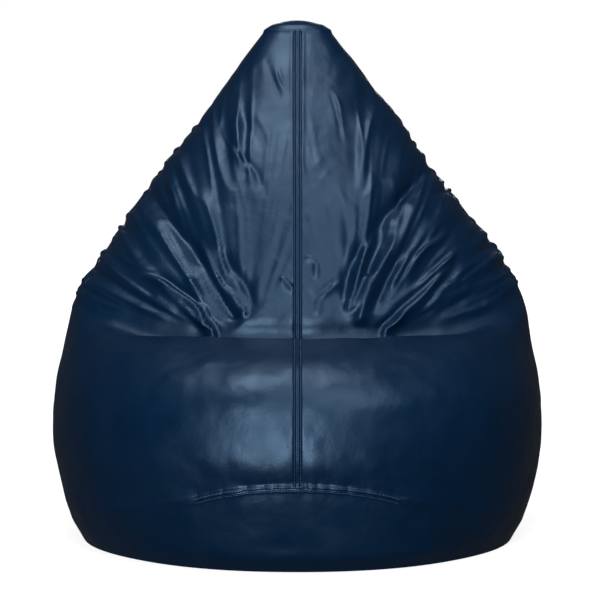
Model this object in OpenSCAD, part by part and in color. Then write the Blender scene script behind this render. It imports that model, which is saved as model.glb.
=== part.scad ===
// Teardrop bean bag chair: a sewn leatherette cover, a lining filled with beads, and a zip at the back.
// Millimetres, +Z up. The origin lies on the floor, below the middle of the chair. The front faces -Y.

/* [Overall size] */
// Width across the belly
body_w = 880; // [720:10:1060]
// Depth from the front of the belly to the zip slider at the back
body_d = 866; // [720:2:1040]
// Height of the crown of the top cap above the floor
body_h = 919; // [760:1:1110]

/* [Foot] */
// Width of the area that rests on the floor
foot_w = 776; // [640:2:800]
// Depth of the area that rests on the floor
foot_d = 752; // [620:2:770]
// Height at which the side and back panels meet the base panel
heel_h = 52; // [40:1:65]
// Height of the base seam at the middle of the front
front_seam_h = 152; // [130:1:170]
// How far the soft foot is pressed down before it is trimmed flat at the floor
foot_press = 1; // [0.5:0.5:2]

/* [Seat] */
// Height of the rounded front edge of the seat
seat_h = 362; // [330:1:400]
// Distance from the front of the belly to the seat's front edge
seat_setback = 103; // [80:1:130]
// Depth of the seat, from its front edge to the crease
seat_depth = 128; // [100:1:160]
// How much higher the crease lies than the seat's front edge
crease_rise = 15; // [0:1:25]

/* [Top cap] */
// Width of the top cap
cap_w = 120; // [90:1:160]
// Depth of the top cap
cap_d = 62; // [45:1:80]
// How far the middle of the cap lies behind the middle of the foot
cap_back = 160; // [120:1:200]
// How far the cap bulges above its seam
cap_dome = 16; // [8:1:24]

/* [Cover] */
// Thickness of the leatherette
cover_t = 1.2; // [0.8:0.1:2]
// Angle from the front to the corner where a front panel, a side panel and the base panel meet
corner_angle = 22; // [16:1:30]
// Angle from the front to the seam between a side panel and a back panel
back_seam_angle = 135; // [120:1:145]
// Distance between the two rows of topstitching on a seam
stitch_gauge = 10; // [7:0.5:14]
// Thickness of the sewing thread
thread_d = 1; // [0.6:0.1:1.4]

/* [Lining and fill] */
// Thickness of the lining cloth
liner_t = 0.5; // [0.3:0.1:1]
// Room between one layer and the next
layer_gap = 0.4; // [0.3:0.1:1]
// Length of the filling mouth in the back seam of the lining
mouth_l = 170; // [120:5:200]
// Width of the filling mouth
mouth_w = 6; // [4:1:10]
// Width of the hook strip and of the loop strip that close the mouth
strip_w = 20; // [16:1:25]
// Thickness of each strip
strip_t = 1; // [0.8:0.1:1.5]

/* [Zip] */
// Length of the chain
zip_l = 240; // [180:5:290]
// Height of the lower end of the chain above the floor
zip_low = 110; // [95:5:130]
// Width of one tape
tape_w = 13; // [10:1:16]
// Thickness of the tapes
tape_t = 0.6; // [0.4:0.1:0.8]
// Width of one half of the chain
chain_w = 2.6; // [2:0.1:3.2]
// Thickness of the chain
chain_t = 2.4; // [2:0.1:3]
// Length of the slider
slider_l = 16; // [12:1:20]
// Thickness of each plate of the slider
plate_t = 1.3; // [1:0.1:1.6]
// Length of the pull, from its pivot to its tip
pull_l = 34; // [26:1:44]
// Width of the pull
pull_w = 9; // [8:0.5:11]
// Thickness of the pull
pull_t = 1.4; // [1:0.1:1.5]
// Radius of the bar on which the pull turns
pivot_r = 0.8; // [0.7:0.05:0.9]
// Running clearance round the zip's moving pieces
zip_gap = 0.3; // [0.25:0.05:0.4]

/* [Hidden] */

navy = "#16304f";
lining_white = "#e8e8e4";
bead_white = "#f4f4f0";
nickel = "#b8bac0";
$fn = 32;

// The zip, measured outwards from the middle plane of its tapes
divider_w = 1;
chain_x = divider_w / 2 + zip_gap;
tape_x = chain_x + chain_w;
plate_y = chain_t / 2 + zip_gap;
plate_w = 2 * (tape_x + zip_gap + 1.3);
flange_y = tape_t / 2 + zip_gap;
pivot_y = plate_y + plate_t + zip_gap + pivot_r;
arch_under = pivot_y + pivot_r + zip_gap;
arch_t = 1.1;
arch_top = arch_under + arch_t;
arch_w = 2.4;
arch_l = 2 * (pivot_r + 1.6 + arch_t);
pivot_z = 2.5;
tape_under = 0.6;
tape_over = 16;

// The faces of the zip's layers, from the chair's back inwards
back_y = body_d / 2 - arch_top + cover_t + tape_under + tape_t / 2;
zip_y = back_y - cover_t - tape_under - tape_t / 2;
strip_gap = 0.2;
loop_y = zip_y - plate_y - plate_t - zip_gap;
hook_y = loop_y - strip_t - strip_gap;
liner_y = hook_y - strip_t - strip_gap;
zip_room = back_y - liner_y - cover_t - layer_gap;
slot_w = plate_w + 4 * zip_gap;
slot_over = 5;
zip_high = zip_low + zip_l;
slider_z = zip_low + slider_l / 2 + 1;
mouth_z = (zip_low + zip_high) / 2;

// Rings from the foot to the cap's seam, at v = 0, 1, 2 and so on. Each one gives the front's y and z,
// the side's half width, y and z, and the back's y and z.
front_y = -body_d / 2;
lip_y = front_y + seat_setback;
crease_y = lip_y + seat_depth;
crease_h = seat_h + crease_rise;
cap_z = body_h - cap_dome;
belly = body_w / 2;
foot_x = foot_w / 2;
foot_y = foot_d / 2;
flat_low = zip_low - 30;
flat_high = zip_high + 45;
flat_over = 5;

// The heel, the base seam, the belly and the upper belly: how far the front and the sides lie inside the
// belly, the side's height, and the back's share of the way up the flat stretch
front_tuck = [22, 8, 0, 27];
side_tuck = [26, 10, 0, 5];
front_heights = [heel_h - 7, front_seam_h, front_seam_h + 64, seat_h - 55];
side_heights = [heel_h, 113, 185, 274];
back_tuck = 15;
back_shares = [0, 0.06, 0.35, 0.66];

// Shares of the way from the crease to the cap: height, front depth, narrowing of the sides
rise = [0.06, 0.16, 0.36, 0.58, 0.80, 0.963];
lean = [0.05, 0.136, 0.291, 0.506, 0.764, 0.955];
narrow = [0.875, 0.813, 0.614, 0.402, 0.200, 0.043];
side_crease = 404 / 440 * belly;
side_crease_z = seat_h + 64;
side_lean = [0.08, 0.15, 0.34, 0.61, 0.88, 0.99];
back_crease_y = back_y - 14;
back_crease_z = flat_high + 45;

rings = [
    [-foot_y, 0, foot_x, 0, 0, foot_y, 0],
    for (i = [0:len(front_tuck) - 1]) [
        front_y + front_tuck[i], front_heights[i],
        belly - side_tuck[i], 0, side_heights[i],
        i == 0 ? back_y - back_tuck : back_y + flat_over,
        i == 0 ? heel_h : lerp(flat_low, flat_high, back_shares[i])],
    [lip_y, seat_h, lerp(side_crease, belly, 0.5), 2, seat_h - 22, back_y + 2, flat_high],
    [crease_y, crease_h, side_crease, 10, side_crease_z, back_crease_y, back_crease_z],
    for (i = [0:len(rise) - 1]) [
        lerp(crease_y, cap_back - cap_d / 2, lean[i]), lerp(crease_h, cap_z, rise[i]),
        lerp(cap_w / 2, belly, narrow[i]), lerp(10, cap_back, side_lean[i]),
        lerp(side_crease_z, cap_z, rise[i]),
        lerp(back_crease_y, cap_back + cap_d / 2, rise[i]), lerp(back_crease_z, cap_z, rise[i])],
    [cap_back - cap_d / 2, cap_z, cap_w / 2, cap_back, cap_z, cap_back + cap_d / 2, cap_z]
];
last_ring = len(rings) - 1;
roundness = 0.93;

// Rows of the skin from the middle of the foot to the crown
floor_rows = [-1, -0.55, -0.12, 0];
foot_row = len(floor_rows) - 1;
seam_row = foot_row + 3;
belly_row = seam_row + 3;
belly_ring = 3;
cap_row = belly_row + 2 * (last_ring - belly_ring);
crown_row = cap_row + 2;
rows_to_side = 14;

// Columns of the skin, for the front, side and back panels of one half
front_cols = 5;
side_cols = 8;
back_steps = [0, 0.2, 0.4, 0.6, 0.8, 0.92, 1];
middle_col = front_cols + side_cols / 2;
side_col = front_cols + side_cols;
half_cols = side_col + len(back_steps) - 1;
all_cols = 2 * half_cols;

function lerp(a, b, t) = a + (b - a) * t;
function ease(t) = let (c = min(1, max(0, t))) c * c * (3 - 2 * c);
function unit(v) = v / norm(v);

// A smooth curve through the rings, held flat where the zip is
function ring(v) =
    let (
        k = min(max(floor(v), 0), last_ring - 1),
        t = v - k,
        b = rings[k],
        c = rings[k + 1],
        a = k > 0 ? rings[k - 1] : 2 * b - c,
        d = k < last_ring - 1 ? rings[k + 2] : 2 * c - b,
        q = (2 * b + (c - a) * t + (2 * a - 5 * b + 4 * c - d) * t * t + (3 * b - a - 3 * c + d) * t * t * t) / 2
    )
    [q[0], q[1], q[2], q[3], q[4], min(back_y, q[5]), q[6]];

// A point of a ring at angle a, from the front (0) over the right side (90) to the back (180)
function around(q, a) =
    let (
        c = cos(a),
        s = sin(a),
        end_y = c >= 0 ? q[0] : q[5],
        end_z = c >= 0 ? q[1] : q[6]
    )
    [
        q[2] * sign(s) * pow(abs(s), roundness),
        q[3] + (end_y - q[3]) * pow(abs(c), roundness),
        q[4] + (end_z - q[4]) * c * c
    ];

// The outer surface: v from -1 to 0 is the foot, then the rings, and one more for the cap
function outer_point(a, v) =
    v < 0 ? floor_point(around(rings[0], a), 1 + v)
    : v > last_ring ? cap_point(around(rings[last_ring], a), 1 + last_ring - v)
    : around(ring(v), a);
function floor_point(p, share) = [p[0] * share, p[1] * share, 0];
function cap_point(p, share) =
    [p[0] * share, cap_back + (p[1] - cap_back) * share, p[2] + cap_dome * (1 - share * share)];

function outward(a, v) =
    v <= -1 ? [0, 0, -1]
    : v >= last_ring + 1 ? [0, 0, 1]
    : unit(cross(outer_point(a + 1, v) - outer_point(a - 1, v), outer_point(a, v + 0.06) - outer_point(a, v - 0.06)));

// Height of the base seam: an arch across the front, falling to the heel at the sides and back
function from_front(a) = abs(a > 180 ? a - 360 : a);
function base_seam_v(a) =
    let (b = from_front(a))
    b < corner_angle ? 2 - 0.23 * pow(b / corner_angle, 2)
    : 1 + 0.77 * (1 - ease((b - corner_angle) / 65));

function row_v(g, a) =
    g <= foot_row ? floor_rows[g]
    : g <= seam_row ? lerp(0, base_seam_v(a), (g - foot_row) / (seam_row - foot_row))
    : g <= belly_row ? lerp(base_seam_v(a), belly_ring, (g - seam_row) / (belly_row - seam_row))
    : g <= cap_row ? belly_ring + (g - belly_row) / 2
    : last_ring + (g - cap_row) / (crown_row - cap_row);

// The seam between a front and a side panel, from the corner at the foot to the side at the top
function front_seam_angle(g) =
    corner_angle + (90 - corner_angle) * ease((g - seam_row) / rows_to_side);

// The middle column of a side panel, which keeps to the widest line of the belly where it can
function side_middle(g) = max(90, (front_seam_angle(g) + back_seam_angle) / 2);

function col_angle(g, j) =
    j > half_cols ? 360 - col_angle(g, all_cols - j)
    : j <= front_cols ? front_seam_angle(g) * j / front_cols
    : j <= middle_col ? lerp(front_seam_angle(g), side_middle(g), (j - front_cols) / (middle_col - front_cols))
    : j <= side_col ? lerp(side_middle(g), back_seam_angle, (j - middle_col) / (side_col - middle_col))
    : lerp(back_seam_angle, 180, back_steps[j - side_col]);

// The lining keeps clear of the zip in a shallow pocket behind it
function zip_dip(a, z) =
    zip_room * ease((12 - abs(a - 180)) / 7) * ease((z - zip_low + 70) / 40) * ease((zip_high + 70 - z) / 40);

// Depth below the outer surface: 0 cover, 1 cover inside, 2 lining, 3 lining inside, 4 fill
function depth(layer, a, z) =
    layer == 0 ? 0
    : layer == 1 ? cover_t
    : zip_dip(a, z) + cover_t + layer_gap + (layer > 2 ? liner_t : 0) + (layer > 3 ? layer_gap : 0);

function skin_point(g, j, layer) =
    let (
        a = col_angle(g, j),
        v = row_v(g, a),
        p = outer_point(a, v)
    )
    layer == 0 && g <= foot_row ? [p[0], p[1], -foot_press] : p - outward(a, v) * depth(layer, a, p[2]);

function skin_layer(g0, g1, j0, cols, layer) =
    [for (g = [g0:g1]) for (j = [j0:j0 + cols - 1]) skin_point(g, j, layer)];

// Triangles of a piece of skin with given rows and columns. A row at either end may be a single point.
function corner_id(i, j, rows, cols, low_pole, high_pole) =
    (low_pole && i == 0) || (high_pole && i == rows - 1) ? i * cols : i * cols + j % cols;
function skin_faces(rows, cols, wrap, low_pole, high_pole, start, inside) =
    [for (i = [0:rows - 2]) for (j = [0:cols - (wrap ? 1 : 2)])
        let (
            a = start + corner_id(i, j, rows, cols, low_pole, high_pole),
            b = start + corner_id(i, j + 1, rows, cols, low_pole, high_pole),
            c = start + corner_id(i + 1, j + 1, rows, cols, low_pole, high_pole),
            d = start + corner_id(i + 1, j, rows, cols, low_pole, high_pole)
        )
        each [
            if (c != d) inside ? [a, c, d] : [a, d, c],
            if (a != b) inside ? [a, b, c] : [a, c, b]
        ]];
function band(a, b, c, d) = [[a, b, c], [a, c, d]];

// A piece of one layer: rows g0 to g1, columns from j0, between two depths
module shell(g0, g1, j0, cols, wrap, outer, inner) {
    rows = g1 - g0 + 1;
    n = rows * cols;
    low_pole = g0 == 0;
    high_pole = g1 == crown_row;
    top = (rows - 1) * cols;
    edge = cols - 1;
    steps = wrap ? cols - 1 : cols - 2;
    points = concat(skin_layer(g0, g1, j0, cols, outer), skin_layer(g0, g1, j0, cols, inner));
    low_rim = low_pole ? [] : [for (j = [0:steps]) let (k = (j + 1) % cols) each band(j, k, n + k, n + j)];
    high_rim = high_pole ? [] : [for (j = [0:steps]) let (k = (j + 1) % cols)
        each band(top + k, top + j, n + top + j, n + top + k)];
    sides = wrap ? [] : [for (i = [0:rows - 2])
        let (
            a = corner_id(i, 0, rows, cols, low_pole, high_pole),
            d = corner_id(i + 1, 0, rows, cols, low_pole, high_pole),
            b = corner_id(i, edge, rows, cols, low_pole, high_pole),
            c = corner_id(i + 1, edge, rows, cols, low_pole, high_pole)
        )
        each concat(band(d, a, n + a, n + d), band(b, c, n + c, n + b))];
    polyhedron(points, concat(
        skin_faces(rows, cols, wrap, low_pole, high_pole, 0, false),
        skin_faces(rows, cols, wrap, low_pole, high_pole, n, true),
        low_rim, high_rim, sides));
}

// A six-sided thread through a list of points, with one side kept towards a given direction
module thread(path, towards) {
    sides = 6;
    n = len(path);
    rings_of_points = [for (i = [0:n - 1])
        let (
            along = unit(path[min(n - 1, i + 1)] - path[max(0, i - 1)]),
            across = unit(cross(along, towards)),
            over = cross(across, along)
        )
        for (k = [0:sides - 1])
            path[i] + thread_d / 2 * (across * cos(k * 360 / sides) + over * sin(k * 360 / sides))];
    walls = [for (i = [0:n - 2]) for (k = [0:sides - 1])
        let (m = (k + 1) % sides)
        each band(i * sides + k, i * sides + m, (i + 1) * sides + m, (i + 1) * sides + k)];
    caps = [for (k = [1:sides - 2])
        each [[0, k + 1, k], [(n - 1) * sides, (n - 1) * sides + k, (n - 1) * sides + k + 1]]];
    polyhedron(rings_of_points, concat(walls, caps));
}

// The point at a given distance from one point towards another
function toward(p, q, distance) = p + (q - p) * distance / norm(q - p);

// A flat piece drawn in X and Z, of a given thickness, from y towards the back
module upright(y, thickness) {
    translate([0, y + thickness, 0])
        rotate([90, 0, 0])
            linear_extrude(thickness)
                children();
}

module rounded(width, length, r) {
    hull()
        for (x = [r - width / 2, width / 2 - r], z = [r - length / 2, length / 2 - r])
            translate([x, z])
                circle(r);
}

module body_panel(j0, cols) {
    color(navy)
        shell(seam_row, cap_row, j0, cols + 1, false, 0, 1);
}

// A back panel, cut back along the zip
module back_panel(j0) {
    color(navy)
        difference() {
            shell(seam_row, cap_row, j0, half_cols - side_col + 1, false, 0, 1);
            translate([-slot_w / 2, back_y - 20, zip_low - slot_over])
                cube([slot_w, 40, zip_l + 2 * slot_over]);
        }
}

module base_panel() {
    color(navy)
        difference() {
            shell(0, seam_row, 0, all_cols, true, 0, 1);
            translate([-body_w, -body_d, -10 * foot_press])
                cube([2 * body_w, 2 * body_d, 10 * foot_press]);
        }
}

module front_right_panel() { body_panel(0, front_cols); }
module right_side_panel() { body_panel(front_cols, side_cols); }
module back_right_panel() { back_panel(side_col); }
module back_left_panel() { back_panel(half_cols); }
module left_side_panel() { body_panel(all_cols - side_col, side_cols); }
module front_left_panel() { body_panel(all_cols - front_cols, front_cols); }

module top_cap() {
    color(navy)
        shell(cap_row, crown_row, 0, all_cols, true, 0, 1);
}

// Two rows of topstitching, one in each front panel, sewn half into the leatherette
module front_seam_thread() {
    color(navy)
        for (j = [1, all_cols - 1])
            thread([for (g = [seam_row:cap_row])
                toward(skin_point(g, 0, 0), skin_point(g, j, 0), stitch_gauge / 2)], [1, 0, 0]);
}

// Two rows of topstitching along the arch of the base seam, above and below it
module base_seam_thread() {
    color(navy)
        for (g = [seam_row + 1, seam_row - 1])
            thread([for (j = [-front_cols:front_cols])
                let (k = (j + all_cols) % all_cols)
                toward(skin_point(seam_row, k, 0), skin_point(g, k, 0), stitch_gauge / 2)], [0, 0, 1]);
}

// Half of the lining, open along the filling mouth
module liner_half(j0) {
    color(lining_white)
        difference() {
            shell(0, crown_row, j0, half_cols + 1, false, 2, 3);
            translate([-mouth_w / 2, liner_y - 10, mouth_z - mouth_l / 2])
                cube([mouth_w, 20, mouth_l]);
        }
}

module liner_right() { liner_half(0); }
module liner_left() { liner_half(half_cols); }

module mouth_strip(y) {
    color(lining_white)
        translate([-strip_w / 2, y - strip_t, mouth_z - mouth_l / 2 - strip_w / 2])
            cube([strip_w, strip_t, mouth_l + strip_w]);
}

module liner_hook_strip() { mouth_strip(hook_y); }
module liner_loop_strip() { mouth_strip(loop_y); }

module bean_fill() {
    color(bead_white)
        polyhedron(skin_layer(0, crown_row, 0, all_cols, 4),
            skin_faces(crown_row + 1, all_cols, true, true, true, 0, false));
}

// A tape, just under the edge of its back panel
module zip_tape(side) {
    color(navy)
        translate([side > 0 ? tape_x : -tape_x - tape_w, zip_y - tape_t / 2, zip_low - tape_over])
            cube([tape_w, tape_t, zip_l + 2 * tape_over]);
}

module zip_tape_left() { zip_tape(-1); }
module zip_tape_right() { zip_tape(1); }

// Half of the chain, with rounded edges, along the edge of its tape
module zip_chain(side) {
    r = chain_t / 4;
    color(navy)
        translate([side * (chain_x + chain_w / 2), zip_y, zip_low])
            linear_extrude(zip_l)
                rounded(chain_w, chain_t, r);
}

module zip_chain_left() { zip_chain(-1); }
module zip_chain_right() { zip_chain(1); }

stop_l = 4;
module zip_lower_stops() {
    color(nickel)
        for (side = [-1, 1])
            translate([side * (chain_x + chain_w / 2), zip_y, zip_low - stop_l])
                translate([-chain_w / 2, -chain_t / 2, 0])
                    cube([chain_w, chain_t, stop_l]);
}

module zip_upper_stop() {
    color(nickel)
        translate([-tape_x, zip_y - chain_t / 2, zip_high])
            cube([2 * tape_x, chain_t, stop_l]);
}

// Two plates on a divider, side flanges that leave room for the tapes, and an arch for the pull
module zip_slider() {
    flange_w = 1.3;
    corner_r = 2.5;
    color(nickel)
        translate([0, zip_y, slider_z])
            union() {
                for (y = [plate_y, -plate_y - plate_t])
                    upright(y, plate_t)
                        rounded(plate_w, slider_l, corner_r);
                translate([-divider_w / 2, -plate_y - plate_t / 2, corner_r - slider_l / 2])
                    cube([divider_w, 2 * plate_y + plate_t, slider_l / 3]);
                for (side = [-1, 1], y = [flange_y, -plate_y - plate_t / 2])
                    translate([side * (plate_w / 2 - flange_w / 2) - flange_w / 2, y, corner_r - slider_l / 2])
                        cube([flange_w, plate_y + plate_t / 2 - flange_y, slider_l - 2 * corner_r]);
                translate([-arch_w / 2, 0, pivot_z])
                    rotate([90, 0, 90])
                        linear_extrude(arch_w)
                            arch_profile();
            }
}

// The arch seen from the side, y to the right and z upwards
module arch_profile() {
    foot = plate_y + plate_t / 2;
    difference() {
        translate([foot, -arch_l / 2])
            square([arch_top - foot, arch_l]);
        translate([foot - 1, arch_t - arch_l / 2])
            square([arch_under - foot + 1, arch_l - 2 * arch_t]);
    }
}

// The pull hangs from its own bar, which turns under the slider's arch
module zip_pull() {
    window_w = arch_w + 4 * zip_gap;
    window_l = arch_l / 2 + arch_top - pivot_y + 1;
    hole_r = 1.6;
    color(nickel)
        translate([0, zip_y, slider_z + pivot_z])
            union() {
                upright(pivot_y - pull_t / 2, pull_t)
                    difference() {
                        translate([0, pivot_r - pull_l / 2])
                            rounded(pull_w, pull_l, 2);
                        translate([-window_w / 2, -window_l])
                            square([window_w, window_l + 10]);
                        translate([0, 5 - pull_l])
                            circle(hole_r);
                    }
                translate([-pull_w / 2 + 1, pivot_y, 0])
                    rotate([0, 90, 0])
                        cylinder(h = pull_w - 2, r = pivot_r);
            }
}

base_panel();
front_left_panel();
front_right_panel();
left_side_panel();
right_side_panel();
back_left_panel();
back_right_panel();
top_cap();
front_seam_thread();
base_seam_thread();
liner_left();
liner_right();
liner_hook_strip();
liner_loop_strip();
bean_fill();
zip_tape_left();
zip_tape_right();
zip_chain_left();
zip_chain_right();
zip_lower_stops();
zip_upper_stop();
zip_slider();
zip_pull();
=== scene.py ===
import math

import bpy
import numpy as np
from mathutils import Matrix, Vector


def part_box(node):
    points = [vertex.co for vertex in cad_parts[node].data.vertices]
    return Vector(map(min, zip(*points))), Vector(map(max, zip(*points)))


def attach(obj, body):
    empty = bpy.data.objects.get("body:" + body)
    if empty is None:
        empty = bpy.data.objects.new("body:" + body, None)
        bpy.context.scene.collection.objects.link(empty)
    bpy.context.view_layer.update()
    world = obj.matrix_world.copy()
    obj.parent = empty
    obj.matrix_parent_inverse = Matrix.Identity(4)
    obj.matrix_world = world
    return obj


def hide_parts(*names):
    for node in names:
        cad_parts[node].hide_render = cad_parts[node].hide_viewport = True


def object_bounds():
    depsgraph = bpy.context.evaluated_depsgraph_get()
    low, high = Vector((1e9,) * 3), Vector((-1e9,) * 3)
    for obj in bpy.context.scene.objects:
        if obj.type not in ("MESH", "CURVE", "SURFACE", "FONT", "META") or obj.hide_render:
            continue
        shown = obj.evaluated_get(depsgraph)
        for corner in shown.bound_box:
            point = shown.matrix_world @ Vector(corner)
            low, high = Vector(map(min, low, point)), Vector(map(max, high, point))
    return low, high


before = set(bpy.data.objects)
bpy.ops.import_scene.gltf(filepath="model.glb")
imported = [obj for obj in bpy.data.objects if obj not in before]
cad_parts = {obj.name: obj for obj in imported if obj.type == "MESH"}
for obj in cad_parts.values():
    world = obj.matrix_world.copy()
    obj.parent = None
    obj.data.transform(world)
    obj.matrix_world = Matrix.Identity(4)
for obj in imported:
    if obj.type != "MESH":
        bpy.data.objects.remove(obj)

cadLow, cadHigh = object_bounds()
print("frame loaded")


def corners(node):
    low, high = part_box(node)
    return np.array(low), np.array(high)


def mix(a, b, share):
    return a + (b - a) * share


def ease(share):
    share = np.clip(share, 0, 1)
    return share * share * (3 - 2 * share)


def hump(distance, width):
    return np.exp(-(distance / width) ** 2)


def lengths(points):
    return np.linalg.norm(points, axis=-1)


# the camera comes first: level with the top of the chair, a little downwards
camera = {"place": (0, -4.2, 0.88), "pitch": 83.72, "lens": 141, "shift": 0.0042}
cameraData = bpy.data.cameras.new("camera")
cameraData.lens = camera["lens"]
cameraData.sensor_width = 36
cameraData.shift_x = camera["shift"]
cameraObject = bpy.data.objects.new("camera", cameraData)
cameraObject.location = camera["place"]
cameraObject.rotation_euler = (math.radians(camera["pitch"]), 0, 0)
bpy.context.scene.collection.objects.link(cameraObject)
bpy.context.scene.camera = cameraObject

capLow, capHigh = corners("top_cap")
frontLow, frontHigh = corners("front_right_panel")
backLow, backHigh = corners("back_right_panel")
chainLow, chainHigh = corners("zip_chain_right")

# outline of the filled sack, in metres, with the same rings as the frame
sack = {
    "belly": cadHigh.x, "frontY": frontLow[1], "backY": backHigh[1], "capZ": frontHigh[2],
    "heelZ": backLow[2], "seamZ": 0.152, "footX": 0.388, "footY": 0.376,
    "lipZ": 0.362, "lipIn": 0.103, "creaseIn": 0.231, "creaseZ": 0.377, "creaseSideZ": 0.44,
    "corner": 22, "backSeam": 135, "roundness": 0.93, "tuck": 0.022,
}
capMiddle = (capLow[1] + capHigh[1]) / 2
capDome = capHigh[2] - sack["capZ"]
flatLow = chainLow[2] - 0.03
flatHigh = chainHigh[2] + 0.045


def makeRings():
    frontY, backY, belly = sack["frontY"], sack["backY"], sack["belly"]
    lipY = frontY + sack["lipIn"]
    creaseY = frontY + sack["creaseIn"]
    sideX = 0.918 * belly
    backStartY, backStartZ = backY - 0.014, flatHigh + 0.045
    rings = [
        [-sack["footY"], 0, sack["footX"], 0, 0, sack["footY"], 0],
        [frontY + 0.022, sack["heelZ"] - 0.007, belly - 0.026, 0, sack["heelZ"], backY - 0.015,
         sack["heelZ"]],
        [frontY + 0.008, sack["seamZ"], belly - 0.010, 0, 0.113, backY + 0.005, mix(flatLow, flatHigh, 0.06)],
        [frontY, sack["seamZ"] + 0.064, belly, 0, 0.185, backY + 0.005, mix(flatLow, flatHigh, 0.35)],
        [frontY + 0.027, sack["lipZ"] - 0.055, belly - 0.005, 0, 0.274, backY + 0.005,
         mix(flatLow, flatHigh, 0.66)],
        [lipY, sack["lipZ"], (sideX + belly) / 2, 0.002, sack["lipZ"] - 0.022, backY + 0.002, flatHigh],
        [creaseY, sack["creaseZ"], sideX, 0.01, sack["creaseSideZ"], backStartY, backStartZ],
    ]
    # shares of the way from the crease to the cap: height, front depth, width, side depth
    for rise, lean, narrow, sideLean in (
            (0.06, 0.050, 0.875, 0.08), (0.16, 0.136, 0.813, 0.15), (0.36, 0.291, 0.614, 0.34),
            (0.58, 0.506, 0.402, 0.61), (0.80, 0.764, 0.200, 0.88), (0.963, 0.955, 0.043, 0.99)):
        rings.append([
            mix(creaseY, capLow[1], lean), mix(sack["creaseZ"], sack["capZ"], rise),
            mix(capHigh[0], belly, narrow), mix(0.01, capMiddle, sideLean),
            mix(sack["creaseSideZ"] - 0.014, sack["capZ"], rise),
            mix(backStartY, capHigh[1], rise), mix(backStartZ, sack["capZ"], rise)])
    rings.append([capLow[1], sack["capZ"], capHigh[0], capMiddle, sack["capZ"], capHigh[1], sack["capZ"]])
    return np.array(rings)


rings = makeRings()
lastRing = len(rings) - 1
creaseRing = 6


def ringCurve(v):
    k = np.clip(np.floor(v).astype(int), 0, lastRing - 1)
    t = (v - k)[..., None]
    padded = np.vstack([2 * rings[0] - rings[1], rings, 2 * rings[-1] - rings[-2]])
    a, b, c, d = padded[k], padded[k + 1], padded[k + 2], padded[k + 3]
    q = (2 * b + (c - a) * t + (2 * a - 5 * b + 4 * c - d) * t ** 2 + (3 * b - a - 3 * c + d) * t ** 3) / 2
    q[..., 5] = np.minimum(q[..., 5], sack["backY"])
    return q


# the sides and the back run smoothly past the crease, between these two rings
calm = {"low": 5.0, "high": 8.3}
calmEnds = ringCurve(np.array([calm["low"] - 0.01, calm["low"], calm["high"], calm["high"] + 0.01]))


def ringAt(v):
    q = ringCurve(v)
    span = calm["high"] - calm["low"]
    t = np.clip((v - calm["low"]) / span, 0, 1)
    # the sides climb ahead of the back, so the crease rises towards the arms
    t = np.stack([t + 3.5 * (t * (1 - t)) ** 2] * 5 + [t] * 2, -1)
    a, b = calmEnds[1], calmEnds[2]
    slopeA, slopeB = 100 * span * (a - calmEnds[0]), 100 * span * (calmEnds[3] - b)
    smooth = (a * (2 * t ** 3 - 3 * t ** 2 + 1) + slopeA * (t ** 3 - 2 * t ** 2 + t)
              + b * (3 * t ** 2 - 2 * t ** 3) + slopeB * (t ** 3 - t ** 2))
    inside = ((v > calm["low"]) & (v < calm["high"]))[..., None]
    q[..., 2:] = np.where(inside, smooth[..., 2:], q[..., 2:])
    return q


def skinPoint(angle, v):
    # v: -1 to 0 is the foot, 0 to 13 the rings, 13 to 14 the cap. Angle: 0 front, 90 right, 180 back
    q = ringAt(np.clip(v, 0, lastRing))
    c, s = np.cos(np.radians(angle)), np.sin(np.radians(angle))
    endY = np.where(c >= 0, q[..., 0], q[..., 5])
    endZ = np.where(c >= 0, q[..., 1], q[..., 6])
    # the crease runs level across the middle and climbs at the arms
    level = 1 + np.where(c >= 0, 1.2, 0) * hump(v - creaseRing, 0.9)
    endShare = 1 - np.abs(s) ** (2 * level)
    x = q[..., 2] * np.sign(s) * np.abs(s) ** sack["roundness"]
    y = q[..., 3] + (endY - q[..., 3]) * np.abs(c) ** sack["roundness"]
    z = q[..., 4] + (endZ - q[..., 4]) * endShare
    # below its seam the base panel turns under at the front
    under = np.clip(baseSeamV(angle) - v, 0, 1)
    y = y + sack["tuck"] * under * (2 - under) * ease((c - 0.2) / 0.6)
    floorShare = np.clip(1 + v, 0, 1)
    capShare = np.clip(1 + lastRing - v, 0, 1)
    x = x * floorShare * capShare
    y = np.where(v < 0, y * floorShare, np.where(v > lastRing, capMiddle + (y - capMiddle) * capShare, y))
    z = np.where(v < 0, 0, z) + capDome * (1 - capShare ** 2)
    return np.stack([x, y, z], -1)


def outward(angle, v):
    across = skinPoint(angle + 1, v) - skinPoint(angle - 1, v)
    upward = skinPoint(angle, v + 0.06) - skinPoint(angle, v - 0.06)
    normal = np.cross(across, upward)
    size = lengths(normal)[..., None]
    flat = np.where((v <= -0.99)[..., None], [0, 0, -1.0], [0, 0, 1.0])
    return np.where(size > 1e-9, normal / np.maximum(size, 1e-9), flat)


# panels: rows g run from the base seam to the cap seam, shares run across a panel
lowG, highG, bellyG = 6, 29, 9


def seamAngle(g):
    return sack["corner"] + (90 - sack["corner"]) * ease((g - lowG) / 14)


def baseSeamV(angle):
    b = np.abs(angle)
    arch = 2 - 0.23 * (b / sack["corner"]) ** 2
    return np.where(b < sack["corner"], arch, 1 + 0.77 * (1 - ease((b - sack["corner"]) / 65)))


def rowV(g, angle):
    low = mix(baseSeamV(angle), 3, (g - lowG) / (bellyG - lowG))
    return np.where(g <= bellyG, low, 3 + (g - bellyG) / 2)


def panelAngle(kind, g, share):
    seam = seamAngle(g)
    if kind == "front":
        return seam * share
    if kind == "back":
        return mix(sack["backSeam"], 180, share)
    middle = np.maximum(90, (seam + sack["backSeam"]) / 2)
    return np.where(share < 0.5, mix(seam, middle, 2 * share), mix(middle, sack["backSeam"], 2 * share - 1))


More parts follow.
